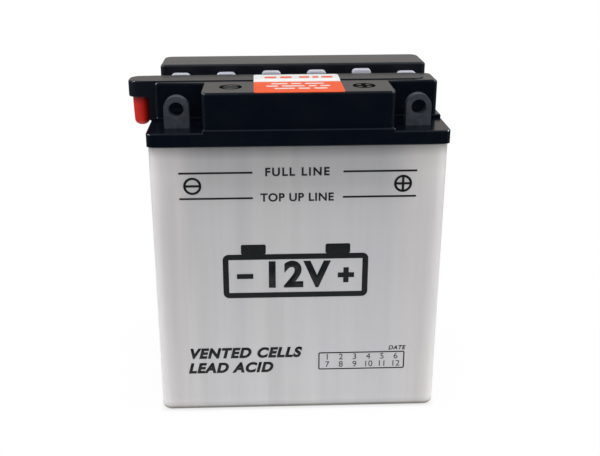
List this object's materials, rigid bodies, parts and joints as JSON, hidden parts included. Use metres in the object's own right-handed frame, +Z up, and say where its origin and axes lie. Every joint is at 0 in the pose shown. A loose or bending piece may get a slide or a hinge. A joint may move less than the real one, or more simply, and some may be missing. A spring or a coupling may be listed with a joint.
{
  "type": "motorcycle battery",
  "caption": "Flooded lead-acid motorcycle battery: pale translucent box, black cover with blade terminals in corner pockets, filler plugs in a trough and a capped gas outlet.",
  "frame": {"origin": "middle of the container's underside, where the battery stands in its tray", "axes": "+X to the right as seen from the terminals, +Y from the terminals to the rear rail, +Z up"},
  "size_m": [0.1446, 0.08, 0.1602],
  "materials": {
    "container_plastic": "satin, slightly translucent",
    "cover_plastic": "satin black",
    "cap_vinyl": "soft gloss",
    "terminal_lead": "cast lead, dulled",
    "lead": "cast lead",
    "lead_dioxide": "matt pasted plate",
    "separator_paper": "matt microporous sheet",
    "seal_rubber": "matt",
    "plug_plastic": "satin",
    "label_film": "printed film, white and orange"
  },
  "bodies": {
    "battery": {"container": "container_plastic", "top_cover": "cover_plastic", "vent_duct": "cover_plastic", "terminal_negative": "terminal_lead", "terminal_positive": "terminal_lead", "post_negative": "lead", "post_positive": "lead", "post_seal_negative": "seal_rubber", "post_seal_positive": "seal_rubber", "top_label": "label_film", "negative_plates_1": "lead", "negative_plates_2": "lead", "negative_plates_3": "lead", "negative_plates_4": "lead", "negative_plates_5": "lead", "negative_plates_6": "lead", "positive_plates_1": "lead_dioxide", "positive_plates_2": "lead_dioxide", "positive_plates_3": "lead_dioxide", "positive_plates_4": "lead_dioxide", "positive_plates_5": "lead_dioxide", "positive_plates_6": "lead_dioxide", "separators_1": "separator_paper", "separators_2": "separator_paper", "separators_3": "separator_paper", "separators_4": "separator_paper", "separators_5": "separator_paper", "separators_6": "separator_paper", "cell_link_1": "lead", "cell_link_2": "lead", "cell_link_3": "lead", "cell_link_4": "lead", "cell_link_5": "lead"},
    "plug_1": {"vent_plug_1": "plug_plastic", "plug_seal_1": "seal_rubber"},
    "plug_2": {"vent_plug_2": "plug_plastic", "plug_seal_2": "seal_rubber"},
    "plug_3": {"vent_plug_3": "plug_plastic", "plug_seal_3": "seal_rubber"},
    "plug_4": {"vent_plug_4": "plug_plastic", "plug_seal_4": "seal_rubber"},
    "plug_5": {"vent_plug_5": "plug_plastic", "plug_seal_5": "seal_rubber"},
    "plug_6": {"vent_plug_6": "plug_plastic", "plug_seal_6": "seal_rubber"},
    "red_cap": {"vent_cap": "cap_vinyl"}
  },
  "joints": [
    {"name": "plug_1_pull", "type": "slide", "parent": "battery", "child": "plug_1", "axis": [0, 0, 1], "range_m": [0, 0.027]},
    {"name": "plug_2_pull", "type": "slide", "parent": "battery", "child": "plug_2", "axis": [0, 0, 1], "range_m": [0, 0.027]},
    {"name": "plug_3_pull", "type": "slide", "parent": "battery", "child": "plug_3", "axis": [0, 0, 1], "range_m": [0, 0.027]},
    {"name": "plug_4_pull", "type": "slide", "parent": "battery", "child": "plug_4", "axis": [0, 0, 1], "range_m": [0, 0.027]},
    {"name": "plug_5_pull", "type": "slide", "parent": "battery", "child": "plug_5", "axis": [0, 0, 1], "range_m": [0, 0.027]},
    {"name": "plug_6_pull", "type": "slide", "parent": "battery", "child": "plug_6", "axis": [0, 0, 1], "range_m": [0, 0.027]},
    {"name": "red_cap_pull", "type": "slide", "parent": "battery", "child": "red_cap", "axis": [0, 0, -1], "range_m": [0, 0.014]}
  ]
}
